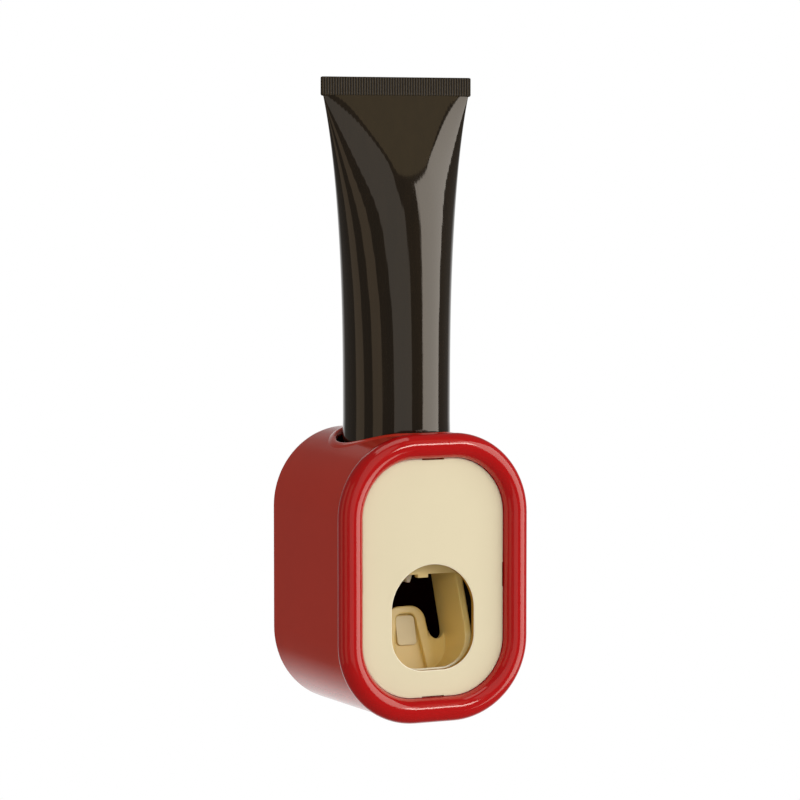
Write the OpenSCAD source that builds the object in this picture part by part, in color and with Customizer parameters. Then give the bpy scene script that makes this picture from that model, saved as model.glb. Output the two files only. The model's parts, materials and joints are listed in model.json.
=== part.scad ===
// Wall-mounted toothpaste dispenser, in millimetres.
// The origin is the middle of the adhesive pad's back face, on the wall.
// +Z is up and +Y points into the wall, so the front of the dispenser faces -Y.
// Lengths named h_ or ending in _h are distances from the wall, measured towards the front.

/* [Body] */
// Width across the front rim
body_w = 71.8; // [70:0.1:78]
// Height across the front rim
body_h = 100; // [97:0.5:108]
// Outer corner radius of the front rim
corner_r = 28.5; // [27.5:0.5:31]
// Thickness of the round rim
rim_d = 8.6; // [8.2:0.1:9.2]
// Distance of the rim's middle plane from the wall
rim_h = 58; // [57:0.5:64]
// Step from the rim's outer edge in to the shell
shell_step = 0.8; // [0.5:0.1:1.2]
// Wall thickness of the shell
shell_t = 2; // [1.6:0.1:2.4]
// Gap between the shell's back edge and the wall
shell_gap = 1; // [0.8:0.1:1.4]
// Rounding of the shell's back edge
shell_edge_r = 1; // [0.5:0.1:1.4]
// Radius of the hole that the tube stands in
tube_hole_r = 21.3; // [20.5:0.1:22]

/* [Front panel] */
// Thickness of the front panel
panel_t = 1.8; // [1.4:0.1:2.2]
// Rounding of the panel's outer edge
panel_edge_r = 0.5; // [0.3:0.1:0.8]
// Width of the brush opening
opening_w = 31.5; // [30:0.5:33]
// Height of the brush opening
opening_h = 36.6; // [34:0.2:38]
// How far the middle of the opening lies below the middle of the body
opening_drop = 13.6; // [12.5:0.1:15]
// Radius of the opening's bottom corners
opening_corner_r = 12; // [9:0.5:14]
// Rounding of the opening's front edge
opening_edge_r = 0.4; // [0.2:0.1:0.6]
// Length of each snap slit at the panel's edge
slit_l = 8.5; // [6:0.5:11]
// Depth of each snap slit into the panel's edge
slit_w = 0.4; // [0.3:0.05:0.6]

/* [Lever] */
// How far the lever's pivot lies behind the inner frame's front plate
pivot_set = 17.1; // [16.6:0.1:17.6]
// How far the lever's pivot lies below the inner frame's top plate
pivot_drop = 16; // [15.6:0.1:16.4]
// How far the scoop's back leans forward at rest, in degrees
lever_lean = 14; // [13:0.1:15]
// Width across the lever's side arms
lever_w = 33.2; // [32:0.1:33.6]
// Thickness of the lever's side arms
arm_t = 2.4; // [2:0.1:2.7]
// Length of the lever from its pivot to the bottom of the scoop
lever_l = 50.1; // [47:0.1:51]
// Radius of the scoop's outer bottom corners
scoop_r = 12; // [9:0.5:13]
// Thickness of the scoop's bottom
scoop_t = 2; // [1.6:0.1:2.4]
// Thickness of the scoop's back
back_t = 3.1; // [2.8:0.1:3.6]
// Width of the centre pad at its shoulders
pad_w = 15; // [14:0.2:16]
// Width of the centre pad at its root
pad_root_w = 16.8; // [16:0.2:18]
// Width of the pad's pocket at its top
pocket_w = 7.8; // [7.6:0.1:9]
// Width of the pad's pocket at its foot
pocket_foot_w = 12.6; // [11:0.2:14]
// Depth of the pad's pocket
pocket_depth = 1.8; // [1.4:0.1:2]
// Width of the brush bumper
bumper_w = 7.3; // [6.6:0.1:7.4]
// Length of the brush bumper
bumper_l = 10.3; // [9:0.1:11]
// Diameter of the pivot pins
pin_d = 3; // [2.5:0.1:3.4]
// Wire diameter of the return springs
spring_wire_d = 0.8; // [0.6:0.05:0.9]
// Turns of each return spring
spring_turns = 2.5; // [2:0.5:3]

/* [Pump] */
// Distance of the tube's axis from the wall
tube_h = 29; // [28.5:0.1:29.5]
// How far the nozzle's axis lies behind the inner frame's front plate
nozzle_set = 11.3; // [10.8:0.1:11.6]
// Outer diameter of the inlet socket
socket_d = 21; // [20.4:0.1:21.6]
// Wall thickness of the inlet socket
socket_t = 1.8; // [1.5:0.1:2.1]
// Wall thickness of the soft tube adapter
adapter_t = 2; // [1.8:0.05:2.05]
// Diameter of the paste channel
channel_d = 4.4; // [4:0.1:5]
// Diameter of the nozzle column
column_d = 10; // [9.4:0.1:10.6]
// Outer diameter of the pump's soft dome
dome_d = 12; // [11.2:0.1:12.4]
// Wall thickness of the pump's soft dome
dome_t = 0.9; // [0.7:0.1:1.1]

/* [Frame] */
// Thickness of the inner frame's plates
frame_t = 2.4; // [2:0.1:2.6]
// Width of the window that the lever moves through
window_w = 40; // [38:0.2:41]
// Outer diameter of the shell's screw bosses
boss_d = 7; // [6.4:0.1:7.4]
// Thickness of the rear cover
cover_t = 2; // [1.6:0.1:2.2]

/* [Wall bracket] */
// Width of the bracket plate
bracket_w = 40; // [36:1:44]
// Height of the bracket plate
bracket_h = 44; // [40:1:50]
// Thickness of the bracket plate
bracket_t = 1.6; // [1.2:0.1:1.8]
// Thickness of the adhesive pad
pad_t = 1; // [0.8:0.1:1.1]
// Distance between the two studs
stud_gap = 24; // [20:1:26]
// Diameter of the studs' necks
stud_d = 4.6; // [4:0.1:5]
// Diameter of the studs' heads
stud_head_d = 8.8; // [8:0.1:9]
// How far the dispenser lifts to come off its studs
lift = 12; // [11:0.5:13]

/* [Tube] */
// Radius of the full tube at its shoulder
tube_r = 18.8; // [18.4:0.1:19.2]
// Height of the tube's crimped end above the shoulder's seat
tube_l = 132; // [110:1:150]
// Height of the flat crimped band
crimp_l = 6; // [5:0.5:9]
// Thickness of the crimped band
crimp_t = 0.9; // [0.7:0.1:1.4]
// Number of ribs pressed into the crimp
crimp_ribs = 58; // [40:1:64]
// How far the tube's seat lies below the top of the rim
seat_drop = 9.5; // [9:0.1:10]
// Outer radius of the tube's neck
neck_r = 6.4; // [6.2:0.1:6.5]
// Length of the tube's neck
neck_l = 10.5; // [9:0.5:11.5]

/* [Fits] */
// Gap round a part that seats in another
seat_gap = 0.1; // [0.05:0.05:0.15]
// Gap round a pin that turns in its hole
run_gap = 0.05; // [0.02:0.01:0.08]
// Gap beside parts that move past each other
move_gap = 0.3; // [0.25:0.05:0.4]

/* [Hidden] */
$fn = 96;
past = 1;

// Rim, shell and bezel
rim_r = rim_d / 2;
shell_w = body_w - 2 * shell_step;
shell_h = body_h - 2 * shell_step;
shell_r = corner_r - shell_step;
inner_w = shell_w - 2 * shell_t;
inner_h = shell_h - 2 * shell_t;
inner_r = shell_r - shell_t;
shell_front_h = rim_h - sqrt(rim_r * rim_r - (rim_r - shell_step) * (rim_r - shell_step));
panel_back_h = rim_h - panel_t;
ledge_t = 3.7;
ledge_reach = 3;
spigot_t = 2;
spigot_l = 2.2;

// Rear cover, bosses and screws
cover_h0 = 4.6;
boss_h0 = cover_h0 + cover_t;
boss_sink = 0.5;
boss_r = boss_d / 2;
boss_out = (inner_r + boss_sink - boss_r) / sqrt(2);
boss_x = inner_w / 2 - inner_r + boss_out;
boss_z = inner_h / 2 - inner_r + boss_out;
screw_r = 1.2;
screw_head_r = 2.3;
screw_head_t = 1.1;
screw_l = 7;
cross_w = 2.6;
cross_t = 0.6;
cross_depth = 0.5;

// Inner frame
flange_h1 = panel_back_h - ledge_t - spigot_l - move_gap;
flange_h0 = flange_h1 - frame_t;
flange_gap = 0.3;
pivot_h = flange_h0 - pivot_set;
spring_room = 4.9;
side_x0 = lever_w / 2 + spring_room;
side_x1 = side_x0 + frame_t;
side_reach = 18.5;
side_drop = 9;
side_h0 = pivot_h - side_reach;
ear_t = 2.2;
top_drop = 19.6;
top_z1 = body_h / 2 - top_drop;
top_z0 = top_z1 - frame_t;
pivot_z = top_z0 - pivot_drop;
side_z0 = pivot_z - side_drop;
fork_reach = 9;
fork_h0 = tube_h - fork_reach;
way_z = boss_z + boss_r + 0.2;
window_rise = 11.5;
window_drop = 54;
window_top = pivot_z - window_rise;
window_bottom = pivot_z - window_drop;
window_r = 4;
tab_w = 4;
tab_l = 1.2;

// Pump
nozzle_h = flange_h0 - nozzle_set;
seat_z = body_h / 2 - seat_drop;
socket_r = socket_d / 2;
socket_in_r = socket_r - socket_t;
adapter_r = socket_in_r - seat_gap;
block_w = 23;
block_l = 10.5;
block_h1 = nozzle_h + column_d / 2 + 1.5;
block_rise = 3.5;
block_z0 = pivot_z + block_rise;
block_z1 = block_z0 + block_l;
channel_z = (block_z0 + block_z1) / 2;
channel_r = channel_d / 2;
ear_r = 3.2;
collar_t = 1.6;
collar_lip_t = 0.5;
flange_lip_t = 1.4;
pump_head_r = 2;
ear_gap = 2.8;
ear_x = socket_r + collar_t + pump_head_r + ear_gap;
adapter_top_z = seat_z - 2 * seat_gap;
socket_top_z = adapter_top_z - flange_lip_t - collar_lip_t;
valve_lip_t = 1.2;
valve_wall_t = 0.7;
bill_tip_t = 1;
adapter_z0 = block_z1 + valve_lip_t;
inlet_r = 3;
inlet_body_l = 1;
inlet_bill_l = 1.6;
outlet_r = channel_r + 0.2;
outlet_body_l = 1.8;
outlet_bill_l = 4.2;
lug_w = 24;
lug_half = 4.5;
lug_z0 = pivot_z - lug_half;
column_r = column_d / 2;
column_drop = 8.4;
column_z0 = pivot_z - column_drop;
ring_t = 1;
ring_l = 4;
plug_l = 2.4;

// Pump dome, which the lever presses from the front
dome_drop = 10.5;
dome_z = pivot_z - dome_drop;
dome_r = dome_d / 2;
presser_l = 1.7;
bridge_t = 3.4;
bridge_gap = 0.8;
bridge_h1 = nozzle_h - column_r - seat_gap - ring_t - bridge_gap;
bridge_h0 = bridge_h1 - bridge_t;
dome_base_h = bridge_h0 - presser_l - move_gap - dome_r;
dome_lip_t = 0.8;
dome_lip_r = dome_r + 1;
nut_t = 1.2;
nut_r = dome_lip_r + seat_gap + nut_t;
nut_l = 3;
chamber_l = 8;
chamber_wall_t = 2;
block_h0 = dome_base_h - chamber_l;

// Lever
lever_x = lever_w / 2;
wall_back = 4.2;
arm_root_r = 5.4;
arm_back = [[6.2, 14], [4.2, 31.6]];
arm_front = [[12.6, 14.6], [15.2, 34.7], [15.2, 40]];
lever_set_back = 1.8;
lever_face_h = panel_back_h - lever_set_back;
pad_top = 24.8;
slot_end = 36.85;
pad_shoulder_r = 5.5;
pocket_top = 27.4;
pocket_foot = 1;
pocket_r = 2.4;
bridge_x = lever_x - arm_t / 2;
bridge_half = 3.5;
presser_r = 4.5;
bumper_gap = 0.7;
bumper_t = 0.8;
bumper_r = 1.4;
pin_r = pin_d / 2;
pin_bore_r = pin_r + run_gap;
pin_depth = 3;
pin_head_r = pin_r + 1.1;
pin_head_t = 1.2;

// Return springs
spring_r = pin_r + 1.5;
spring_gap = 0.45;
spring_pitch = spring_wire_d + spring_gap;
spring_leg = 6.5;
peg_r = 0.9;
peg_l = 1.6;
frame_peg_back = 4;
frame_peg_up = 5;
lever_peg_back = 3;
lever_peg_down = 4;
wire_sides = 6;
rings_per_turn = 8;

// Bracket
stud_z = 14;
key_gap = 0.2;
stud_head_t = 1.4;
bracket_z = 8;
bracket_r = 8;
pad_margin = 2;

// Tube
shoulder_l = 6.5;
shoulder_lap = 1;
neck_t = 2.2;
sleeve_z0 = seat_z + shoulder_l;
tube_top_z = seat_z + tube_l;
crimp_z = tube_top_z - crimp_l;
// Half the crimp's width as a share of the full tube's radius, a little under PI / 2
flat_share = 1.545;
crimp_half_w = tube_r * flat_share;
shoulder_round_r = 4;
// Exponent at which the section keeps the girth of the round tube as it flattens
girth = ln(2) / ln(PI / 2);
// How slowly the full tube starts to flatten above its shoulder
swell = 2.9;
sleeve_sides = 48;
sleeve_rings = 22;

// Rounded rectangle centred on the origin
module rounded(w, h, r) {
    square([w - 2 * r, h], center = true);
    square([w, h - 2 * r], center = true);
    for (x = [-1, 1], z = [-1, 1])
        translate([x * (w / 2 - r), z * (h / 2 - r)]) circle(r);
}

// Upright plate from distance h0 to distance h1 in front of the wall
module slab(h0, h1) {
    rotate([90, 0, 0]) translate([0, 0, h0]) linear_extrude(h1 - h0) children();
}

// Level plate from height z0 to height z1
module level(z0, z1) {
    translate([0, 0, z0]) linear_extrude(z1 - z0) children();
}

// Straight profile along the right side of a frame, and the same on the other sides
module side_run(offset_x, length) {
    translate([offset_x, length / 2, 0]) rotate([90, 0, 0]) linear_extrude(length) children();
}

// Profile carried round a rounded rectangle: x points outwards from the path, y points forwards
module frame_sweep(w, h, r) {
    rotate([90, 0, 0]) {
        for (q = [0:3]) {
            sx = (q == 0 || q == 3) ? 1 : -1;
            sz = (q < 2) ? 1 : -1;
            translate([sx * (w / 2 - r), sz * (h / 2 - r), 0]) rotate([0, 0, 90 * q])
                rotate_extrude(angle = 90) translate([r, 0]) children();
        }
        for (turn = [0, 180]) {
            rotate([0, 0, turn]) side_run(w / 2, h - 2 * r) children();
            rotate([0, 0, turn + 90]) side_run(h / 2, w - 2 * r) children();
        }
    }
}

// Quarter of a disc, which fills a rounded outer edge
module quarter(r) {
    intersection() {
        circle(r);
        square(r);
    }
}

// What a rounding takes off a square edge whose corner lies at x = 0, y = 0
module edge_cut(r) {
    difference() {
        translate([-r, -r]) square(r + past);
        translate([-r, -r]) circle(r);
    }
}

// The four screw places, each given the same children
module at_bosses() {
    for (x = [-1, 1], z = [-1, 1])
        translate([x * boss_x, 0, z * boss_z]) children();
}

// Round bar along Y from distance h0 to distance h1 in front of the wall
module bar(h0, h1, r) {
    rotate([90, 0, 0]) translate([0, 0, h0]) cylinder(h = h1 - h0, r = r);
}

// Round bar along X
module cross_bar(x0, x1, r) {
    translate([x0, 0, 0]) rotate([0, 90, 0]) cylinder(h = x1 - x0, r = r);
}

// Outline of the brush opening
module opening_outline(grow = 0) {
    r = opening_w / 2;
    top = -opening_drop + opening_h / 2 - r;
    bottom = -opening_drop - opening_h / 2;
    translate([0, top]) circle(r + grow);
    translate([-r - grow, bottom + opening_corner_r])
        square([2 * (r + grow), top - bottom - opening_corner_r]);
    translate([-r + opening_corner_r, bottom - grow])
        square([2 * (r - opening_corner_r), opening_corner_r + grow]);
    for (x = [-1, 1])
        translate([x * (r - opening_corner_r), bottom + opening_corner_r])
            circle(opening_corner_r + grow);
}

// Profile carried round the brush opening: x points away from the opening's middle, y forwards
module opening_sweep() {
    r = opening_w / 2;
    top = -opening_drop + opening_h / 2 - r;
    bottom = -opening_drop - opening_h / 2;
    low = bottom + opening_corner_r;
    rotate([90, 0, 0]) {
        translate([0, top, 0]) rotate_extrude(angle = 180) translate([r, 0]) children();
        for (x = [-1, 1])
            translate([x * (r - opening_corner_r), low, 0]) rotate([0, 0, x > 0 ? 270 : 180])
                rotate_extrude(angle = 90) translate([opening_corner_r, 0]) children();
        translate([0, (top + low) / 2, 0]) side_run(r, top - low) children();
        translate([0, (top + low) / 2, 0]) rotate([0, 0, 180]) side_run(r, top - low) children();
        rotate([0, 0, 270]) side_run(-bottom, 2 * (r - opening_corner_r)) children();
    }
}

// The way down into the top for the tube
module tube_way() {
    translate([0, -tube_h, way_z]) cylinder(h = body_h, r = tube_hole_r);
}

module outer_shell() {
    color("#c0212b") difference() {
        union() {
            difference() {
                slab(shell_gap, shell_front_h) rounded(shell_w, shell_h, shell_r);
                slab(shell_gap - past, shell_front_h + past) rounded(inner_w, inner_h, inner_r);
            }
            at_bosses() bar(boss_h0, flange_h0, boss_r);
        }
        tube_way();
        at_bosses() bar(boss_h0 - past, boss_h0 + screw_l + past, screw_r + run_gap);
        at_bosses() bar(flange_h0 - screw_l - past, flange_h0 + past, screw_r + run_gap);
        frame_sweep(shell_w, shell_h, shell_r) translate([0, shell_gap]) mirror([0, 1])
            edge_cut(shell_edge_r);
    }
}

module front_bezel() {
    out_w = inner_w - 2 * seat_gap;
    out_h = inner_h - 2 * seat_gap;
    out_r = inner_r - seat_gap;
    hole_w = body_w - 2 * rim_d;
    hole_h = body_h - 2 * rim_d;
    hole_r = corner_r - rim_d;
    join_h = rim_h - rim_r / 4;
    color("#c0212b") {
        difference() {
            frame_sweep(body_w - rim_d, body_h - rim_d, corner_r - rim_r)
                translate([0, rim_h]) circle(rim_r);
            difference() {
                slab(rim_h - rim_d, shell_front_h) rounded(body_w + rim_d, body_h + rim_d, corner_r);
                slab(rim_h - 2 * rim_d, rim_h) rounded(out_w, out_h, out_r);
            }
        }
        difference() {
            slab(panel_back_h - ledge_t, join_h) rounded(out_w, out_h, out_r);
            slab(panel_back_h, rim_h) rounded(hole_w, hole_h, hole_r);
            slab(0, rim_h)
                rounded(hole_w - 2 * ledge_reach, hole_h - 2 * ledge_reach, hole_r - ledge_reach);
        }
        difference() {
            slab(panel_back_h - ledge_t - spigot_l, panel_back_h - ledge_t / 2)
                rounded(out_w, out_h, out_r);
            slab(0, rim_h)
                rounded(out_w - 2 * spigot_t, out_h - 2 * spigot_t, out_r - spigot_t);
        }
    }
}

module front_panel() {
    w = body_w - 2 * rim_d - 2 * seat_gap;
    h = body_h - 2 * rim_d - 2 * seat_gap;
    r = corner_r - rim_d - seat_gap;
    e = panel_edge_r;
    color("#dfd1b0") difference() {
        union() {
            slab(panel_back_h, rim_h - e) rounded(w, h, r);
            slab(panel_back_h, rim_h) rounded(w - 2 * e, h - 2 * e, r - e);
            frame_sweep(w - 2 * e, h - 2 * e, r - e) translate([0, rim_h - e]) quarter(e);
        }
        slab(panel_back_h - past, rim_h + past) opening_outline();
        opening_sweep() translate([0, rim_h]) mirror([1, 0]) edge_cut(opening_edge_r);
        slab(panel_back_h - past, rim_h + past) for (turn = [0, 180]) rotate(turn) {
            translate([w / 2 - slit_w, -slit_l / 2]) square([slit_w + past, slit_l]);
            translate([-slit_l / 2, h / 2 - slit_w]) square([slit_l, slit_w + past]);
        }
    }
}

// Keyhole: the stud's neck rests at the top and its head comes out through the round end
module keyhole() {
    neck_r = stud_d / 2 + key_gap;
    circle(neck_r);
    translate([-neck_r, -lift]) square([2 * neck_r, lift]);
    translate([0, -lift]) circle(stud_head_d / 2 + move_gap);
}

module rear_cover() {
    color("#b01f28") difference() {
        slab(cover_h0, cover_h0 + cover_t)
            rounded(inner_w - 2 * seat_gap, inner_h - 2 * seat_gap, inner_r - seat_gap);
        slab(cover_h0 - past, cover_h0 + cover_t + past)
            for (x = [-1, 1]) translate([x * stud_gap / 2, stud_z]) keyhole();
        at_bosses() bar(cover_h0 - past, cover_h0 + cover_t + past, screw_r + seat_gap);
        at_bosses() bar(cover_h0 - past, cover_h0 + screw_head_t, screw_head_r + seat_gap);
    }
}

// Cross recess, its middle in the head's outer face
module cross_recess() {
    for (turn = [0, 90]) rotate(turn) cube([cross_w, cross_t, 2 * cross_depth], center = true);
}

// Pan-head screw along Y, its head's outer face at distance h, pointing forwards or backwards
module screw(h, dir) {
    translate([0, -h, 0]) rotate([dir > 0 ? 90 : -90, 0, 0]) difference() {
        union() {
            cylinder(h = screw_head_t, r = screw_head_r);
            cylinder(h = screw_head_t + screw_l, r = screw_r);
        }
        cross_recess();
    }
}

module rear_screws() {
    color("#9a9a9a") at_bosses() screw(cover_h0, 1);
}

module wall_bracket() {
    front = pad_t + bracket_t;
    head = cover_h0 + cover_t + move_gap;
    color("#e4e2dc") {
        slab(pad_t, front) translate([0, bracket_z]) rounded(bracket_w, bracket_h, bracket_r);
        for (x = [-1, 1]) translate([x * stud_gap / 2, 0, stud_z]) {
            bar(front, head, stud_d / 2);
            bar(head, head + stud_head_t, stud_head_d / 2);
        }
    }
}

module adhesive_pad() {
    color("#8f9296") slab(0, pad_t) translate([0, bracket_z])
        rounded(bracket_w - 2 * pad_margin, bracket_h - 2 * pad_margin, bracket_r - pad_margin);
}

module core_frame() {
    color("#d8cba9") difference() {
        union() {
            slab(flange_h0, flange_h1) rounded(
                inner_w - 2 * flange_gap, inner_h - 2 * flange_gap, inner_r - flange_gap);
            for (x = [-1, 1]) translate([x > 0 ? side_x0 : -side_x1, -flange_h1, side_z0])
                cube([frame_t, flange_h1 - side_h0, top_z1 - side_z0]);
            level(top_z0, top_z1) translate([-side_x1, -flange_h1])
                square([2 * side_x1, flange_h1 - fork_h0]);
            for (x = [-1, 1]) translate([0, -pivot_h + frame_peg_back, pivot_z + frame_peg_up])
                cross_bar(x > 0 ? side_x0 - peg_l : -side_x0, x > 0 ? side_x0 : -side_x0 + peg_l, peg_r);
        }
        difference() {
            slab(flange_h0 - past, flange_h1 + past) translate([0, (window_top + window_bottom) / 2])
                rounded(window_w, window_top - window_bottom, window_r);
            slab(flange_h0 - 2 * past, flange_h1 + 2 * past)
                translate([-tab_w / 2, window_top - tab_l]) square([tab_w, tab_l + past]);
        }
        tube_way();
        translate([0, -tube_h, top_z0 - past])
            cylinder(h = frame_t + 2 * past, r = socket_r + seat_gap);
        for (x = [-1, 1]) translate([x * ear_x, -tube_h, top_z0 - past])
            cylinder(h = frame_t + 2 * past, r = screw_r + run_gap);
        translate([0, -pivot_h, pivot_z]) cross_bar(-side_x1 - past, side_x1 + past, pin_bore_r);
        at_bosses() bar(flange_h0 - past, flange_h1 + past, screw_r + seat_gap);
        at_bosses() bar(flange_h1 - screw_head_t, flange_h1 + past, screw_head_r + seat_gap);
    }
}

module frame_screws() {
    color("#9a9a9a") at_bosses() screw(flange_h1, -1);
}

module pump_body() {
    color("#e9e7e1") difference() {
        union() {
            translate([0, -tube_h, block_z1 - past])
                cylinder(h = socket_top_z - block_z1 + past, r = socket_r);
            level(top_z1, top_z1 + ear_t) for (x = [-1, 1]) {
                translate([x * ear_x, -tube_h]) circle(ear_r);
                translate([x > 0 ? 0 : -ear_x, -tube_h - ear_r]) square([ear_x, 2 * ear_r]);
            }
            translate([-block_w / 2, -block_h1, block_z0])
                cube([block_w, block_h1 - block_h0, block_z1 - block_z0]);
            translate([-lug_w / 2, -pivot_h - lug_half, lug_z0])
                cube([lug_w, 2 * lug_half, block_z0 - lug_z0 + past]);
            translate([-nut_r, -(dome_base_h - nut_l), dome_z - nut_r])
                cube([2 * nut_r, chamber_l - nut_l, block_z0 - dome_z + nut_r + past]);
            translate([0, 0, dome_z]) bar(block_h0 + past, dome_base_h, dome_lip_r);
            translate([0, -nozzle_h, column_z0])
                cylinder(h = block_z0 - column_z0 + past, r = column_r);
        }
        translate([0, -tube_h, block_z1]) cylinder(h = body_h, r = socket_in_r);
        translate([0, -tube_h, channel_z]) cylinder(h = block_z1 - channel_z + past, r = inlet_r);
        translate([0, 0, channel_z]) bar(block_h0 - past, nozzle_h, channel_r);
        translate([0, -nozzle_h, column_z0 - past])
            cylinder(h = channel_z - column_z0 + past, r = channel_r);
        translate([0, -block_h0 - chamber_l / 2, dome_z])
            cylinder(h = channel_z - dome_z, r = channel_r);
        translate([0, 0, dome_z])
            bar(block_h0 + chamber_wall_t, dome_base_h + past, dome_r - dome_t);
        for (x = [-1, 1]) translate([0, -pivot_h, pivot_z])
            cross_bar(x > 0 ? lug_w / 2 - pin_depth : -lug_w / 2 - past,
                x > 0 ? lug_w / 2 + past : -lug_w / 2 + pin_depth, pin_bore_r);
        for (x = [-1, 1]) translate([x * ear_x, -tube_h, top_z1 - past])
            cylinder(h = ear_t + 2 * past, r = screw_r + seat_gap);
    }
}

module pump_screws() {
    length = ear_t + frame_t;
    color("#9a9a9a") for (x = [-1, 1]) translate([x * ear_x, -tube_h, top_z1 + ear_t]) difference() {
        union() {
            cylinder(h = screw_head_t, r = pump_head_r);
            translate([0, 0, -length]) cylinder(h = length + past, r = screw_r);
        }
        translate([0, 0, screw_head_t]) cross_recess();
    }
}

module channel_plug() {
    color("#c9c6bd") translate([0, 0, channel_z]) bar(block_h0, block_h0 + plug_l, channel_r);
}

module tube_adapter() {
    hole = adapter_r - adapter_t;
    color("#f0ece0") translate([0, -tube_h, 0]) rotate_extrude() difference() {
        union() {
            translate([hole, adapter_z0]) square([adapter_t, adapter_top_z - adapter_z0]);
            translate([hole, socket_top_z]) square([socket_r - hole, flange_lip_t]);
        }
        translate([hole - past, adapter_z0 - past]) square([past, body_h]);
    }
}

module adapter_collar() {
    skirt_z = top_z1 + ear_t + seat_gap;
    top = socket_top_z + flange_lip_t + collar_lip_t;
    color("#c9c6bd") translate([0, -tube_h, 0]) rotate_extrude() {
        translate([socket_r + seat_gap, skirt_z]) square([collar_t, top - skirt_z]);
        translate([socket_r - collar_t, socket_top_z + flange_lip_t])
            square([2 * collar_t + seat_gap, collar_lip_t]);
    }
}

// Duckbill valve: a round lip, a short body and two lips that meet in a wedge
module duckbill(lip_r, lip_t, body_r, body_l, bill_l) {
    bore = body_r - valve_wall_t;
    difference() {
        union() {
            translate([0, 0, -lip_t]) cylinder(h = lip_t, r = lip_r);
            translate([0, 0, -lip_t - body_l]) cylinder(h = body_l, r = body_r);
            intersection() {
                translate([0, 0, -lip_t - body_l - bill_l]) cylinder(h = bill_l, r = body_r);
                rotate([90, 0, 0]) translate([0, 0, -body_r]) linear_extrude(2 * body_r) polygon([
                    [-body_r, -lip_t - body_l], [body_r, -lip_t - body_l],
                    [bill_tip_t / 2, -lip_t - body_l - bill_l],
                    [-bill_tip_t / 2, -lip_t - body_l - bill_l]
                ]);
            }
        }
        translate([0, 0, -lip_t - body_l]) cylinder(h = lip_t + body_l + past, r = bore);
    }
}

module inlet_valve() {
    color("#f0ece0") translate([0, -tube_h, adapter_z0])
        duckbill(adapter_r, valve_lip_t, inlet_r - seat_gap, inlet_body_l, inlet_bill_l);
}

module outlet_valve() {
    color("#e2ded2") translate([0, -nozzle_h, column_z0])
        duckbill(column_r, valve_lip_t, outlet_r, outlet_body_l, outlet_bill_l);
}

module nozzle_ring() {
    bottom = column_z0 - valve_lip_t - ring_t;
    lip_in = outlet_r + seat_gap;
    color("#c9c6bd") translate([0, -nozzle_h, 0]) rotate_extrude() {
        translate([lip_in, bottom]) square([column_r + seat_gap + ring_t - lip_in, ring_t]);
        translate([column_r + seat_gap, bottom]) square([ring_t, ring_l + ring_t]);
    }
}

module pump_bulb() {
    color("#e2ded2") translate([0, 0, dome_z]) rotate([90, 0, 0]) translate([0, 0, dome_base_h])
        rotate_extrude() {
            difference() {
                quarter(dome_r);
                circle(dome_r - dome_t);
            }
            translate([dome_r - dome_t, 0]) square([dome_lip_r - dome_r + dome_t, dome_lip_t]);
        }
}

module bulb_ring() {
    color("#c9c6bd") translate([0, 0, dome_z]) rotate([90, 0, 0]) translate([0, 0, dome_base_h])
        rotate_extrude() {
            translate([nut_r - nut_t, -nut_l]) square([nut_t, nut_l + dome_lip_t + ring_t]);
            translate([dome_r + seat_gap, dome_lip_t]) square([nut_r - dome_r - seat_gap, ring_t]);
        }
}

// Places the lever's own frame: the pivot is the origin, -Z runs down the lever and +Y is its back
module lever_frame() {
    translate([0, -pivot_h, pivot_z]) rotate([-lever_lean, 0, 0]) children();
}

// Front outline of the scoop, its bottom at z = -length
module scoop_outline(half_w, length, r) {
    translate([-half_w, -length + r]) square([2 * half_w, length - r + arm_root_r]);
    translate([-half_w + r, -length]) square([2 * (half_w - r), r + past]);
    for (x = [-1, 1]) translate([x * (half_w - r), -length + r]) circle(r);
}

// Plate across the lever's own frame, from depth n0 to depth n1 behind its middle plane
module across(n0, n1) {
    translate([0, n1, 0]) rotate([90, 0, 0]) linear_extrude(n1 - n0) children();
}

// Side view of the arms and scoop, drawn in depth and height
module lever_side() {
    front = len(arm_front) - 1;
    circle(arm_root_r);
    polygon(concat(
        [[-arm_root_r, 0], [arm_root_r, 0]],
        [for (p = arm_back) [p[0], -p[1]]],
        [[wall_back, -lever_l - past], [-arm_front[front][0], -lever_l - past]],
        [for (k = [front:-1:0]) [-arm_front[k][0], -arm_front[k][1]]]
    ));
}

// Centre pad: rounded shoulders at z = -top, and sides that spread to its root at z = -root
module pad_outline(half_w, half_root_w, top, root, r) {
    polygon([
        [-half_w, -top - r], [-half_w + r, -top], [half_w - r, -top], [half_w, -top - r],
        [half_root_w, -root], [-half_root_w, -root]
    ]);
    for (x = [-1, 1]) translate([x * (half_w - r), -top - r]) circle(r);
}

// Back of the scoop with a slot on each side of the pad, each slot with a round bottom
module back_outline() {
    half_root_w = pad_root_w / 2;
    slot_r = (lever_x - arm_t - half_root_w) / 2;
    pad_outline(pad_w / 2, half_root_w, pad_top, slot_end, pad_shoulder_r);
    intersection() {
        scoop_outline(lever_x, lever_l, scoop_r);
        difference() {
            translate([-lever_x, -lever_l]) square([2 * lever_x, lever_l - slot_end + slot_r]);
            translate([-half_root_w, -slot_end]) square([2 * half_root_w, slot_r + past]);
            for (x = [-1, 1]) translate([x * (half_root_w + slot_r), -slot_end + slot_r]) circle(slot_r);
        }
    }
}

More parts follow.
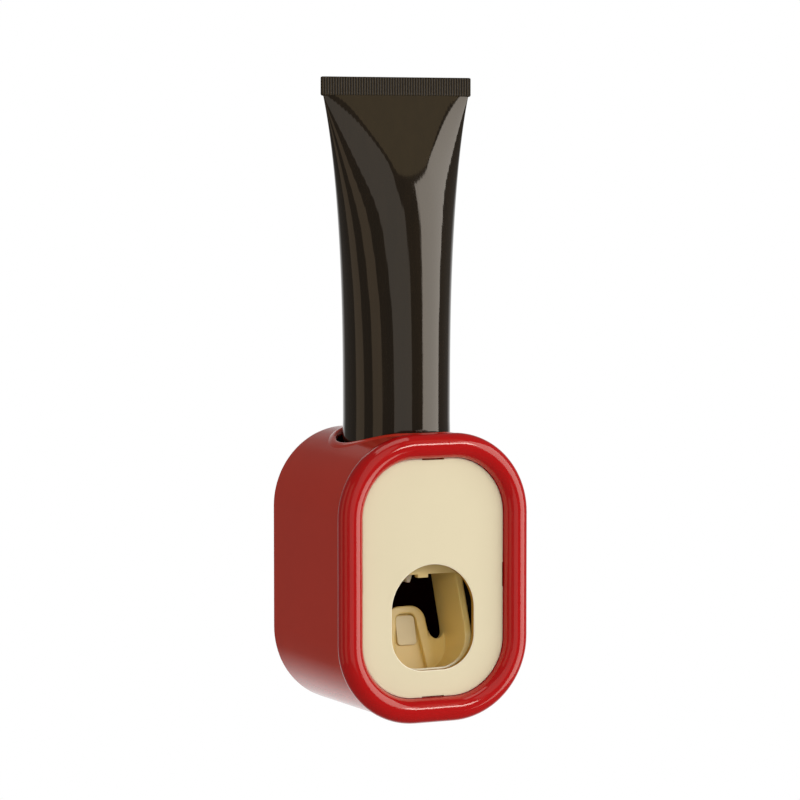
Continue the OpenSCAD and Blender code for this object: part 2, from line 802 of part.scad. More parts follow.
module lever() {
    inner_x = lever_x - arm_t;
    deep = arm_back[0][0];
    front = arm_front[len(arm_front) - 1][0];
    back = wall_back - back_t;
    foot = lever_l - scoop_t - pocket_foot;
    color("#d5c8a6") difference() {
        union() {
            lever_frame() intersection() {
                difference() {
                    union() {
                        difference() {
                            across(-front, deep) scoop_outline(lever_x, lever_l, scoop_r);
                            across(-front - past, deep + past) translate([0, past])
                                scoop_outline(inner_x, lever_l - scoop_t + past, scoop_r - arm_t);
                        }
                        across(back, wall_back) back_outline();
                    }
                    across(back - past, back + pocket_depth)
                        pad_outline(pocket_w / 2, pocket_foot_w / 2, pocket_top, foot, pocket_r);
                }
                rotate([90, 0, 90]) translate([0, 0, -lever_x]) linear_extrude(2 * lever_x) lever_side();
            }
            translate([-bridge_x, -bridge_h1, dome_z - bridge_half])
                cube([2 * bridge_x, bridge_h1 - bridge_h0, 2 * bridge_half]);
            translate([0, 0, dome_z])
                bar(bridge_h0 - presser_l, bridge_h0 + past, presser_r);
            for (x = [-1, 1]) lever_frame() translate([0, lever_peg_back, -lever_peg_down]) cross_bar(
                x > 0 ? lever_x - past : -lever_x - peg_l,
                x > 0 ? lever_x + peg_l : -lever_x + past, peg_r);
        }
        translate([-lever_w, -lever_face_h - lever_w, -body_h])
            cube([2 * lever_w, lever_w, 2 * body_h]);
        translate([0, -pivot_h, pivot_z]) cross_bar(-lever_w, lever_w, pin_bore_r);
    }
}

module brush_bumper() {
    floor = wall_back - back_t + pocket_depth;
    color("#efe9dc") lever_frame() across(floor - bumper_t, floor)
        translate([0, -pocket_top - bumper_gap - bumper_l / 2]) rounded(bumper_w, bumper_l, bumper_r);
}

module pivot_pin(side) {
    x0 = lug_w / 2 - pin_depth + run_gap;
    color("#b9bcc0") mirror([side < 0 ? 1 : 0, 0, 0]) translate([0, -pivot_h, pivot_z]) {
        cross_bar(x0, side_x1 + pin_head_t, pin_r);
        cross_bar(side_x1, side_x1 + pin_head_t, pin_head_r);
    }
}

// Round wire carried along a path of points by rings of wire_sides corners
module wire(path, r) {
    n = len(path);
    function way(i) = path[min(i + 1, n - 1)] - path[max(i - 1, 0)];
    function unit(v) = v / norm(v);
    function across_way(i) = unit(cross(way(i), [1, 0, 0.02]));
    function second(i) = unit(cross(way(i), across_way(i)));
    points = [for (i = [0:n - 1], k = [0:wire_sides - 1])
        path[i] + r * (cos(360 * k / wire_sides) * across_way(i)
            + sin(360 * k / wire_sides) * second(i))];
    walls = [for (i = [0:n - 2], k = [0:wire_sides - 1], half = [0, 1])
        let (a = i * wire_sides + k, b = i * wire_sides + (k + 1) % wire_sides)
        half == 0 ? [a, b, b + wire_sides] : [a, b + wire_sides, a + wire_sides]];
    first = [for (k = [1:wire_sides - 2]) [0, k + 1, k]];
    last = [for (k = [1:wire_sides - 2])
        [(n - 1) * wire_sides, (n - 1) * wire_sides + k, (n - 1) * wire_sides + k + 1]];
    polyhedron(points, concat(walls, first, last));
}

// Torsion spring round the pivot, with a straight leg at each end
module return_spring(side) {
    r = spring_r + spring_wire_d / 2;
    steps = round(spring_turns * rings_per_turn);
    x0 = (lever_x + side_x0 - spring_turns * spring_pitch) / 2;
    start = [x0, r, -spring_leg];
    coil = [for (i = [0:steps]) let (a = 360 * i / rings_per_turn)
        [x0 + spring_pitch * i / rings_per_turn, r * cos(a), r * sin(a)]];
    end_a = 360 * steps / rings_per_turn;
    finish = coil[steps] + spring_leg * [0, -sin(end_a), cos(end_a)];
    color("#b9bcc0") mirror([side < 0 ? 1 : 0, 0, 0]) translate([0, -pivot_h, pivot_z])
        wire(concat([start], coil, [finish]), spring_wire_d / 2);
}

// Half width and half depth of the tube's section at the share t of its height
function half_width(t) = tube_r + (crimp_half_w - tube_r) * pow(t, swell);
function half_depth(t) = max(crimp_t / 2,
    pow(max(2 * pow(tube_r, girth) - pow(half_width(t), girth), 0), 1 / girth));

// Corner k of the section that starts the ring list
function section(t, z, k) = let (a = 360 * k / sleeve_sides)
    [half_width(t) * cos(a), half_depth(t) * sin(a), z];

module tube_body() {
    rise = crimp_z - sleeve_z0;
    points = [for (i = [0:sleeve_rings], k = [0:sleeve_sides - 1])
        let (t = i / sleeve_rings) section(t, sleeve_z0 + rise * t, k)];
    walls = [for (i = [0:sleeve_rings - 1], k = [0:sleeve_sides - 1], half = [0, 1])
        let (a = i * sleeve_sides + k, b = i * sleeve_sides + (k + 1) % sleeve_sides)
        half == 0 ? [a, b + sleeve_sides, b] : [a, a + sleeve_sides, b + sleeve_sides]];
    low = [for (k = [1:sleeve_sides - 2]) [0, k, k + 1]];
    top0 = sleeve_rings * sleeve_sides;
    high = [for (k = [1:sleeve_sides - 2]) [top0, top0 + k + 1, top0 + k]];
    polyhedron(points, concat(walls, low, high));
}

module tube_sleeve() {
    pitch = 2 * crimp_half_w / crimp_ribs;
    color("#2a231b") translate([0, -tube_h, 0]) {
        tube_body();
        difference() {
            translate([-crimp_half_w, -crimp_t / 2, crimp_z - past])
                cube([2 * crimp_half_w, crimp_t, crimp_l + past]);
            for (i = [0:crimp_ribs - 1])
                translate([-crimp_half_w + pitch * (i + 0.25), -crimp_t, crimp_z + pitch])
                    cube([pitch / 2, 0.65 * crimp_t, crimp_l]);
        }
    }
}

module tube_shoulder() {
    neck_bore_r = neck_r - neck_t;
    rim_z = sleeve_z0 - shoulder_lap;
    cone_r = tube_r - shoulder_round_r;
    color("#e9e7e1") translate([0, -tube_h, 0]) rotate_extrude() difference() {
        union() {
            translate([0, seat_z - neck_l]) square([neck_r, neck_l + past]);
            polygon([
                [0, seat_z], [neck_r + 1, seat_z], [cone_r, rim_z - shoulder_round_r],
                [cone_r, sleeve_z0], [0, sleeve_z0]
            ]);
            translate([0, rim_z]) square([tube_r, sleeve_z0 - rim_z]);
            intersection() {
                translate([cone_r, rim_z]) circle(shoulder_round_r);
                translate([cone_r - past, rim_z - shoulder_round_r]) square(shoulder_round_r + past);
            }
        }
        translate([0, seat_z - neck_l - past]) square([neck_bore_r, neck_l + 2 * past]);
    }
}

outer_shell();
front_bezel();
front_panel();
rear_cover();
rear_screws();
wall_bracket();
adhesive_pad();
core_frame();
frame_screws();
pump_body();
pump_screws();
channel_plug();
tube_adapter();
adapter_collar();
inlet_valve();
outlet_valve();
nozzle_ring();
pump_bulb();
bulb_ring();
lever();
brush_bumper();
pivot_pin(-1);  // pivot_pin_left
pivot_pin(1);  // pivot_pin_right
return_spring(-1);  // return_spring_left
return_spring(1);  // return_spring_right
tube_sleeve();
tube_shoulder();
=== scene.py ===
import json
import math

import bpy
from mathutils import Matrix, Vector


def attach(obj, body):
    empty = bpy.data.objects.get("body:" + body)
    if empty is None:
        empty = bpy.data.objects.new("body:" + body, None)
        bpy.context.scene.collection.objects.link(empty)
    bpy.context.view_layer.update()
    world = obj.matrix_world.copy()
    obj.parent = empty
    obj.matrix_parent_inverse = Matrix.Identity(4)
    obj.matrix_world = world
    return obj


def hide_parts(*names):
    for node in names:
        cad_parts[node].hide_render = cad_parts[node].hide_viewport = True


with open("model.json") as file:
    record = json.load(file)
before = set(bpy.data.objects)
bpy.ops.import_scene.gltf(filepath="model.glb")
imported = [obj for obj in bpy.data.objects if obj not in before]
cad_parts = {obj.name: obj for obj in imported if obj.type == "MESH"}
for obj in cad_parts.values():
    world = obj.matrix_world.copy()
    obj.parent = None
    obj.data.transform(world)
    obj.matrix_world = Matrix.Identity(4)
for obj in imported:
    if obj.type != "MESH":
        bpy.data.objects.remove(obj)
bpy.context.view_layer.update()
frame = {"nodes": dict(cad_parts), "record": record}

NODES = frame["nodes"]
scene = bpy.context.scene


# Camera, at the photograph's viewing angle
TURN = math.radians(26.0)
RISE = math.radians(3.96)
TARGET = Vector((-0.01275, -0.058, 0.06189))
DISTANCE = 1.188
FOCAL_MM = 156.46
BACK = Vector((-math.sin(TURN) * math.cos(RISE), -math.cos(TURN) * math.cos(RISE), math.sin(RISE)))
cam_data = bpy.data.cameras.new("camera")
cam_data.sensor_width = 36.0
cam_data.lens = FOCAL_MM
cam_data.clip_start = 0.05
cam_data.clip_end = 50.0
camera = bpy.data.objects.new("camera", cam_data)
camera.location = TARGET + BACK * DISTANCE
camera.rotation_mode = "QUATERNION"
camera.rotation_quaternion = (-BACK).to_track_quat("-Z", "Y")
scene.collection.objects.link(camera)
scene.camera = camera


def new_material(name):
    m = bpy.data.materials.new(name)
    m.use_nodes = True
    t = m.node_tree
    t.nodes.clear()
    out = t.nodes.new("ShaderNodeOutputMaterial")
    shader = t.nodes.new("ShaderNodeBsdfPrincipled")
    t.links.new(shader.outputs[0], out.inputs["Surface"])
    return m, t, shader


def noise_node(t, scale, detail, rough, vector):
    n = t.nodes.new("ShaderNodeTexNoise")
    n.inputs["Scale"].default_value = scale
    n.inputs["Detail"].default_value = detail
    n.inputs["Roughness"].default_value = rough
    t.links.new(vector, n.inputs["Vector"])
    return n.outputs["Fac"]


def ramp(t, fac, stops):
    """Colours by a value, from pairs of position and colour."""
    r = t.nodes.new("ShaderNodeValToRGB")
    e = r.color_ramp.elements
    while len(e) < len(stops):
        e.new(0.5)
    for k, (pos, col) in enumerate(stops):
        e[k].position = pos
        e[k].color = (*col, 1.0)
    t.links.new(fac, r.inputs["Fac"])
    return r.outputs["Color"]


def value_ramp(t, fac, lo, hi, out_lo, out_hi):
    """A value that runs from out_lo to out_hi while fac runs from lo to hi."""
    m = t.nodes.new("ShaderNodeMapRange")
    m.inputs["From Min"].default_value = lo
    m.inputs["From Max"].default_value = hi
    m.inputs["To Min"].default_value = out_lo
    m.inputs["To Max"].default_value = out_hi
    t.links.new(fac, m.inputs["Value"])
    return m.outputs["Result"]


def math_node(t, op, a, b):
    m = t.nodes.new("ShaderNodeMath")
    m.operation = op
    for i, v in enumerate((a, b)):
        if isinstance(v, (int, float)):
            m.inputs[i].default_value = v
        else:
            t.links.new(v, m.inputs[i])
    return m.outputs[0]


def bump(t, shader, height, distance, edge=0.0):
    """Surface relief, over edges that are rounded by the radius edge."""
    b = t.nodes.new("ShaderNodeBump")
    b.inputs["Distance"].default_value = distance
    t.links.new(height, b.inputs["Height"])
    if edge:
        soft = t.nodes.new("ShaderNodeBevel")
        soft.samples = 6
        soft.inputs["Radius"].default_value = edge
        t.links.new(soft.outputs["Normal"], b.inputs["Normal"])
    t.links.new(b.outputs["Normal"], shader.inputs["Normal"])


def shade(col, k):
    return tuple(min(1.0, c * k) for c in col)


def coords(t, stretch=(1, 1, 1)):
    c = t.nodes.new("ShaderNodeTexCoord")
    m = t.nodes.new("ShaderNodeMapping")
    m.inputs["Scale"].default_value = stretch
    t.links.new(c.outputs["Object"], m.inputs["Vector"])
    return m.outputs["Vector"]


def plastic(name, col, rough, spread, peel, grain=900.0, subsurface=0.0, specular=0.5, edge=0.0003,
            tint=(1.0, 1.0, 1.0)):
    """Moulded plastic: cloudy pigment, flow marks, a fine skin texture and uneven polish."""
    m, t, s = new_material(name)
    place = coords(t)
    cloud = noise_node(t, 38.0, 4.0, 0.55, place)
    flow = noise_node(t, 14.0, 3.0, 0.6, coords(t, (1.0, 1.0, 0.22)))
    mixed = math_node(t, "ADD", math_node(t, "MULTIPLY", cloud, 0.6), math_node(t, "MULTIPLY", flow, 0.4))
    stops = [(0.30, shade(col, 1.0 - spread)), (0.50, col), (0.72, shade(col, 1.0 + spread))]
    t.links.new(ramp(t, mixed, stops), s.inputs["Base Color"])
    t.links.new(value_ramp(t, cloud, 0.3, 0.7, rough * 0.86, rough * 1.16), s.inputs["Roughness"])
    skin = noise_node(t, grain, 2.0, 0.5, place)
    waves = noise_node(t, 60.0, 1.0, 0.4, place)
    height = math_node(t, "ADD", math_node(t, "MULTIPLY", skin, 0.35), waves)
    bump(t, s, height, peel, edge)
    s.inputs["Specular IOR Level"].default_value = specular
    s.inputs["Specular Tint"].default_value = (*tint, 1.0)
    if subsurface:
        s.inputs["Subsurface Weight"].default_value = subsurface
        s.inputs["Subsurface Radius"].default_value = (1.0, 0.6, 0.3)
        s.inputs["Subsurface Scale"].default_value = 0.0015
    return m


def steel(name, col, rough, stretch):
    """Metal with fine drawn or turned lines."""
    m, t, s = new_material(name)
    lines = noise_node(t, 700.0, 2.0, 0.6, coords(t, stretch))
    cloud = noise_node(t, 120.0, 3.0, 0.5, coords(t))
    t.links.new(ramp(t, cloud, [(0.3, shade(col, 0.82)), (0.7, shade(col, 1.12))]), s.inputs["Base Color"])
    t.links.new(value_ramp(t, lines, 0.3, 0.7, rough * 0.75, rough * 1.3), s.inputs["Roughness"])
    s.inputs["Metallic"].default_value = 1.0
    bump(t, s, lines, 0.000008)
    return m


def foam(name, col):
    """Closed-cell foam tape: small dark cells."""
    m, t, s = new_material(name)
    v = t.nodes.new("ShaderNodeTexVoronoi")
    v.inputs["Scale"].default_value = 1600.0
    t.links.new(coords(t), v.inputs["Vector"])
    t.links.new(ramp(t, v.outputs["Distance"], [(0.0, shade(col, 0.7)), (0.6, shade(col, 1.15))]),
                s.inputs["Base Color"])
    s.inputs["Roughness"].default_value = 0.92
    bump(t, s, v.outputs["Distance"], 0.00008)
    return m


def laminate(name, col, rough):
    """Glossy tube laminate: fine lengthwise streaks and a slight slanting ripple from the web."""
    m, t, s = new_material(name)
    place = coords(t)
    streaks = noise_node(t, 420.0, 3.0, 0.6, coords(t, (1.0, 1.0, 0.012)))
    ripple = t.nodes.new("ShaderNodeTexWave")
    ripple.inputs["Scale"].default_value = 260.0
    ripple.inputs["Distortion"].default_value = 1.5
    t.links.new(coords(t, (1.0, 0.4, 0.55)), ripple.inputs["Vector"])
    dents = noise_node(t, 26.0, 2.0, 0.45, coords(t, (1.0, 1.0, 0.3)))
    t.links.new(ramp(t, streaks, [(0.3, shade(col, 0.8)), (0.7, shade(col, 1.25))]), s.inputs["Base Color"])
    t.links.new(value_ramp(t, noise_node(t, 60.0, 3.0, 0.5, place), 0.3, 0.7, rough * 0.8, rough * 1.25),
                s.inputs["Roughness"])
    height = math_node(t, "ADD", math_node(t, "MULTIPLY", streaks, 0.02),
                       math_node(t, "MULTIPLY", ripple.outputs["Fac"], 0.008))
    bump(t, s, math_node(t, "ADD", height, math_node(t, "MULTIPLY", dents, 0.5)), 0.0003)
    s.inputs["Specular Tint"].default_value = (1.0, 0.92, 0.82, 1.0)
    s.inputs["Specular IOR Level"].default_value = 0.75
    return m


def mix_color(t, fac, under, over):
    m = t.nodes.new("ShaderNodeMix")
    m.data_type = "RGBA"
    t.links.new(fac, m.inputs["Factor"])
    for socket, value in ((m.inputs["A"], under), (m.inputs["B"], over)):
        if isinstance(value, tuple):
            socket.default_value = (*value, 1.0)
        else:
            t.links.new(value, socket)
    return m.outputs["Result"]


def recolor(mat, fac_of, over):
    """Lay a second colour over a plastic where fac_of gives 1."""
    t = mat.node_tree
    s = next(n for n in t.nodes if n.type == "BSDF_PRINCIPLED")
    under = s.inputs["Base Color"].links[0].from_socket
    t.links.new(mix_color(t, fac_of(t), under, over), s.inputs["Base Color"])
    return mat


def parts(t, output):
    """The three parts of a texture coordinate: a place, a facing, or a direction of the world."""
    split = t.nodes.new("ShaderNodeSeparateXYZ")
    t.links.new(t.nodes.new("ShaderNodeTexCoord").outputs[output], split.inputs[0])
    return split.outputs["X"], split.outputs["Y"], split.outputs["Z"]


def painted_light_by_facing(lo, hi):
    """1 on faces that look sideways, up or down, 0 on faces that look to the front or back. It places the
    front panel's painted highlight and painted shade.
    """
    def fac(t):
        front = math_node(t, "ABSOLUTE", parts(t, "Normal")[1], 0.0)
        return value_ramp(t, front, lo, hi, 1.0, 0.0)
    return fac


# Foremost edge of the scoop's floor, where a highlight is painted: how deep it fades out, and the heights
# between which it starts
LIP_FADE = 0.0006
LIP_LOW_Z = -0.0315
LIP_HIGH_Z = -0.0285


def painted_lip_highlight(depth):
    """1 on the foremost edge of the scoop's floor, where a pale highlight is painted."""
    def fac(t):
        x, y, z = parts(t, "Object")
        return math_node(t, "MULTIPLY", value_ramp(t, y, depth, depth + LIP_FADE, 1.0, 0.0),
                         value_ramp(t, z, LIP_LOW_Z, LIP_HIGH_Z, 1.0, 0.15))
    return fac


# The housing's outline seen from the front, and the depths of its wall and of its rear cover where the
# painted shade inside it ends
SHELL_HALF_W = 0.0351
SHELL_HALF_H = 0.0492
SHELL_R = 0.0277
WALL_INNER = 0.0018
WALL_OUTER = 0.0012
COVER_FRONT_Y = -0.0064
COVER_BACK_Y = -0.0056


def behind(depth):
    """1 deeper in the housing than the distance depth, 0 in front of it: where shade is painted."""
    def fac(t):
        return value_ramp(t, parts(t, "Object")[1], depth, depth + 0.002, 0.0, 1.0)
    return fac


def past_straight(t, place, half):
    """How far a place lies past the straight part of a side of the housing's outline."""
    over = math_node(t, "SUBTRACT", math_node(t, "ABSOLUTE", place, 0.0), half - SHELL_R)
    return math_node(t, "MAXIMUM", over, 0.0)


def painted_shade_inside_shell(t):
    """1 inside the housing's wall, where shade is painted near black, 0 on its outside."""
    x, y, z = parts(t, "Object")
    over_x = past_straight(t, x, SHELL_HALF_W)
    over_z = past_straight(t, z, SHELL_HALF_H)
    square = math_node(t, "ADD", math_node(t, "MULTIPLY", over_x, over_x),
                       math_node(t, "MULTIPLY", over_z, over_z))
    reach = math_node(t, "SQRT", square, 0.0)
    within = value_ramp(t, reach, SHELL_R - WALL_INNER, SHELL_R - WALL_OUTER, 1.0, 0.0)
    return math_node(t, "MULTIPLY", within, value_ramp(t, y, COVER_FRONT_Y, COVER_BACK_Y, 1.0, 0.0))


RED = (0.430, 0.003, 0.004)
SHELL_RED = (0.540, 0.034, 0.018)
SHELL_TINT = (1.0, 0.88, 0.78)
CREAM = (0.700, 0.635, 0.445)
GOLD = (0.770, 0.575, 0.200)
# Golden brown painted on the panel's side walls: painted shade, warm as from light bounced inside the
# opening
PAINTED_SIDE_SHADE = (0.420, 0.220, 0.020)
# Pale colour for painted highlights, on the panel's rounded edges and the scoop's front lip
PAINTED_HIGHLIGHT = (0.930, 0.880, 0.720)

LOOK = {
    # The housing's inside is painted near black: painted shade.
    "red_shell": recolor(plastic("red_shell_look", SHELL_RED, 0.12, 0.03, 0.000006, specular=0.45,
                                 tint=SHELL_TINT), painted_shade_inside_shell, (0.020, 0.001, 0.001)),
    "red_rim": plastic("red_rim_look", RED, 0.10, 0.03, 0.000005, specular=0.62, edge=0.0,
                       tint=(1.0, 0.93, 0.86)),
    # The front panel: a painted highlight on its rounded edges, painted shade on its side walls
    "cream_panel": recolor(recolor(plastic("cream_panel_look", CREAM, 0.46, 0.018, 0.000010,
                                           grain=1500.0, edge=0.0002), painted_light_by_facing(0.90, 0.97), PAINTED_HIGHLIGHT),
                           painted_light_by_facing(0.25, 0.55), PAINTED_SIDE_SHADE),
    # The inner frame is painted near black behind the front panel: painted shade.
    "cream_inner": recolor(plastic("cream_inner_look", (0.74, 0.56, 0.23), 0.42, 0.03, 0.000012,
                                   edge=0.0005), behind(-0.0480), (0.030, 0.018, 0.008)),
    # The scoop's front lip gets a painted highlight.
    "cream_lever": recolor(plastic("cream_lever_look", GOLD, 0.34, 0.03, 0.000012, subsurface=0.1,
                                   edge=0.0009), painted_lip_highlight(-0.0545), PAINTED_HIGHLIGHT),
    "bumper_silicone": plastic("bumper_look", (0.80, 0.69, 0.45), 0.52, 0.03, 0.00002, edge=0.0004),
    "bracket_plastic": plastic("bracket_look", (0.76, 0.74, 0.70), 0.5, 0.03, 0.00003),
    "adhesive_foam": foam("adhesive_foam_look", (0.30, 0.31, 0.33)),
    "pump_plastic": plastic("pump_look", (0.78, 0.76, 0.71), 0.4, 0.03, 0.00002),
    "pump_trim": plastic("pump_trim_look", (0.60, 0.58, 0.53), 0.42, 0.03, 0.00002),
    "silicone": plastic("silicone_look", (0.80, 0.77, 0.68), 0.55, 0.04, 0.00003, subsurface=0.5),
    "screw_steel": steel("screw_steel_look", (0.50, 0.50, 0.50), 0.32, (1, 1, 1)),
    "pin_steel": steel("pin_steel_look", (0.62, 0.63, 0.65), 0.2, (0.05, 1, 1)),
    "spring_steel": steel("spring_steel_look", (0.55, 0.56, 0.58), 0.28, (1, 1, 1)),
    "tube_laminate": laminate("tube_laminate_look", (0.010, 0.0060, 0.0025), 0.07),
    "tube_plastic": plastic("tube_plastic_look", (0.75, 0.73, 0.68), 0.42, 0.03, 0.00002),
}

SLOT = {p["node"]: p["material_slot"] for p in frame["record"]["subparts"]}
for name, obj in NODES.items():
    for k in range(max(1, len(obj.material_slots))):
        if not obj.material_slots:
            obj.data.materials.append(None)
        obj.material_slots[k].link = "OBJECT"
        obj.material_slots[k].material = LOOK[SLOT[name]]


def add_piece(name, verts, faces, body, material, sharp):
    """A smooth-shaded mesh on a body of the frame, with creases over the angle sharp."""
    me = bpy.data.meshes.new(name)
    me.from_pydata(verts, [], faces)
    me.validate()
    me.update()
    ob = bpy.data.objects.new(name, me)
    scene.collection.objects.link(ob)
    me.materials.append(material)
    for p in me.polygons:
        p.use_smooth = True
    me.set_sharp_from_angle(angle=math.radians(sharp))
    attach(ob, body)
    return ob


def grid_faces(rows, cols):
    """Faces between rows of points, each row a closed ring of cols points."""
    out = []
    for i in range(rows - 1):
        for k in range(cols):
            a = i * cols + k
            b = i * cols + (k + 1) % cols
            out.append((a, b, b + cols, a + cols))
    return out


def around(steps):
    """Sideways and forward share of the radius for each point of a circle."""
    turns = [2 * math.pi * k / steps for k in range(steps)]
    return [(math.cos(a), math.sin(a)) for a in turns]


# The tube: round at its shoulder, pressed flat into a ribbed crimp. Its front and back turn into flat
# triangles below the crimp, which stand on their tips.
TUBE_Y = -0.029
TUBE_R = 0.0188
TUBE_SIDES = 288
SLEEVE_Z0 = 0.047
SHOULDER_LAP = 0.001
CRIMP_Z = 0.1665
CRIMP_TOP = 0.1725
CRIMP_HALF_W = 0.02905
CRIMP_HALF_T = 0.00045
CRIMP_OVERHANG = 0.0008
CRIMP_RIBS = 58
# The flat triangle: height of its tip, half width at its top and its tip, and the heights over which the
# round section turns into the flat-sided one
FACET_Z0 = 0.1425
FACET_HALF_W = 0.0208
FACET_TIP_W = 0.0058
FACET_RUN_IN = 0.020
FACET_RUN_OUT = 0.006
# Share of a section's points on the flat, softness of the folds and of the triangle's start, and how far
# the flanks beside the flat are drawn in
FLAT_SHARE = 0.30
FOLD_ROUND = 0.07
LIFT_ROUND = 0.25
FOLD = 0.30
# How late the width grows towards the crimp, and the power that keeps the section's girth the same
SWELL = 2.9
GIRTH = math.log(2) / math.log(math.pi / 2)
# Half thickness lost per height where the tube is pressed flat towards its crimp
WEDGE_SLOPE = 0.43
WEDGE_BLEND = 0.004
# Rounded lower end, and how far the skin stands off the tube's shoulder there
HEEL_R = 0.004
WRAP = 0.00012


def blended_min(a, b, k):
    """Lesser of two lengths, with a soft turn of size k between them."""
    h = min(1.0, max(0.0, 0.5 + 0.5 * (b - a) / k))
    return b + (a - b) * h - k * h * (1 - h)


def past_flat(side):
    """How far a point lies past the flat's edge, with a small radius at the fold."""
    d = (side - FLAT_SHARE) / (1 - FLAT_SHARE)
    return (d + math.sqrt(d * d + FOLD_ROUND * FOLD_ROUND)) / 2


def tube_section(z):
    """Ring of points round the tube at height z, the same number for every height."""
    t = min(1.0, max(0.0, (z - SLEEVE_Z0) / (CRIMP_Z - SLEEVE_Z0)))
    half_w = TUBE_R + (CRIMP_HALF_W - CRIMP_OVERHANG - TUBE_R) * t ** SWELL
    rest = max(2 * TUBE_R ** GIRTH - half_w ** GIRTH, 0.0)
    half_d = blended_min(rest ** (1 / GIRTH), CRIMP_HALF_T + WEDGE_SLOPE * (CRIMP_Z - z), WEDGE_BLEND)
    # The skin stands off the shoulder over the lowest twentieth of its height
    stand_off = WRAP * max(0.0, 1 - 20 * t)
    half_w += stand_off
    half_d += stand_off
    lift = (z - FACET_Z0) / (CRIMP_Z - FACET_Z0)
    lift = min(1.0, (lift + math.sqrt(lift * lift + LIFT_ROUND * LIFT_ROUND)) / 2)
    flat = FACET_TIP_W + (FACET_HALF_W - FACET_TIP_W) * lift
    mix = min(1.0, max(0.0, (z - FACET_Z0 + FACET_RUN_IN) / (FACET_RUN_IN + FACET_RUN_OUT)))
    mix = mix * mix * (3 - 2 * mix)
    ring = []
    for side, depth in around(TUBE_SIDES):
        face = math.copysign(1.0, depth)
        cap = (past_flat(abs(side)) - past_flat(0.0)) / (past_flat(1.0) - past_flat(0.0))
        level = (abs(side) - cap * (1 - FLAT_SHARE)) / FLAT_SHARE
        fold = FOLD * cap * (1 - cap)
        round_x = half_w * side
        round_y = half_d * abs(depth)
        flat_x = math.copysign(flat * level + (half_w - flat) * cap, side)
        flat_y = half_d * (math.sqrt(max(0.0, 1 - cap * cap)) - fold)
        x = round_x + (flat_x - round_x) * mix
        y = round_y + (flat_y - round_y) * mix
        ring.append((x, TUBE_Y + face * y, z))
    return ring


def build_tube():
    """The sleeve from its rounded heel up to the crimp, closed by a fan at either end."""
    rings = []
    heel_steps = 10
    heel_z = SLEEVE_Z0 - SHOULDER_LAP
    for i in range(heel_steps):
        a = math.pi / 2 * i / heel_steps
        r = TUBE_R - HEEL_R + (HEEL_R + WRAP) * math.sin(a)
        z = heel_z - (HEEL_R + WRAP) * math.cos(a)
        rings.append([(r * side, TUBE_Y + r * depth, z) for side, depth in around(TUBE_SIDES)])
    # Few rows on the round part, close rows where the tube turns flat
    turn_z = 0.112
    round_steps = 40
    flat_steps = 200
    levels = [heel_z + (turn_z - heel_z) * i / round_steps for i in range(round_steps)]
    levels += [turn_z + (CRIMP_Z - turn_z) * i / flat_steps for i in range(flat_steps + 1)]
    rings += [tube_section(z) for z in levels]
    verts = [p for ring in rings for p in ring]
    faces = grid_faces(len(rings), TUBE_SIDES)
    base = len(verts)
    verts += [(0.0, TUBE_Y, rings[0][0][2]), (0.0, TUBE_Y, CRIMP_Z)]
    top = base - TUBE_SIDES
    faces += [(base, (k + 1) % TUBE_SIDES, k) for k in range(TUBE_SIDES)]
    faces += [(base + 1, top + k, top + (k + 1) % TUBE_SIDES) for k in range(TUBE_SIDES)]
    sleeve = add_piece("tube_body_skin", verts, faces, "tube", LOOK["tube_laminate"], 50)
    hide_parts("tube_sleeve")
    return sleeve


def build_crimp():
    """The pressed end: a thin bar with rounded ends and lower ledge, with upright ribs on both faces."""
    per_rib = 8
    cols = CRIMP_RIBS * per_rib
    rib_depth = 0.00022
    ledge = 0.00055
    end_r = 0.0006
    thinnest = 0.00005
    # Height, share of the full thickness, share of the ribs' depth, and how far the ends draw in
    rows = [(CRIMP_Z - 0.0007, 0.25, 0.0, 0.0006), (CRIMP_Z - 0.0005, 0.8, 0.0, 0.0002),
            (CRIMP_Z - 0.0001, 1.0, 0.0, 0.0), (CRIMP_Z + 0.0003, 1.0, 0.6, 0.0),
            (CRIMP_Z + 0.0006, 1.0, 1.0, 0.0), (CRIMP_TOP - 0.0005, 1.0, 1.0, 0.0),
            (CRIMP_TOP - 0.0002, 0.95, 0.8, 0.0001), (CRIMP_TOP, 0.6, 0.0, 0.0005)]
    verts = []
    for z, fullness, ribbed, inset in rows:
        for face in (-1, 1):
            for k in range(cols + 1):
                u = k / cols
                x = -face * (CRIMP_HALF_W - inset) * (2 * u - 1)
                end = 1.0 - abs(2 * u - 1)
                rounding = min(1.0, math.sqrt(max(0.0, end * CRIMP_HALF_W / end_r)))
                wave = 0.5 + 0.5 * math.cos(2 * math.pi * u * CRIMP_RIBS)
                depth = (CRIMP_HALF_T + ledge * 0.5) * fullness - rib_depth * ribbed * wave
                verts.append((x, TUBE_Y + face * max(thinnest, depth) * max(0.15, rounding), z))
    ring = 2 * (cols + 1)
    faces = grid_faces(len(rows), ring)
    faces.append(tuple(range(ring - 1, -1, -1)))
    last = len(verts) - ring
    faces.append(tuple(range(last, last + ring)))
    crimp = add_piece("tube_crimp", verts, faces, "tube", LOOK["crimp"], 50)
    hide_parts("tube_sleeve")
    return crimp


def painted_rib_light(t):
    """1 on the ribs of the crimp, 0 in the grooves between them: painted highlight on the crests, painted
    shade in the grooves.
    """
    turns = math_node(t, "MULTIPLY", parts(t, "Object")[0], math.pi * CRIMP_RIBS / CRIMP_HALF_W)
    return value_ramp(t, math_node(t, "COSINE", turns, 0.0), -0.5, 0.6, 1.0, 0.0)


# The crimp's rib crests are painted lighter than its grooves: painted highlight and painted shade.
LOOK["crimp"] = recolor(plastic("tube_crimp_look", (0.005, 0.0035, 0.002), 0.40, 0.15, 0.000002,
                                specular=0.22), painted_rib_light, (0.043, 0.029, 0.013))
TUBE_PIECES = [build_tube(), build_crimp()]

HOLE_R = 0.0213
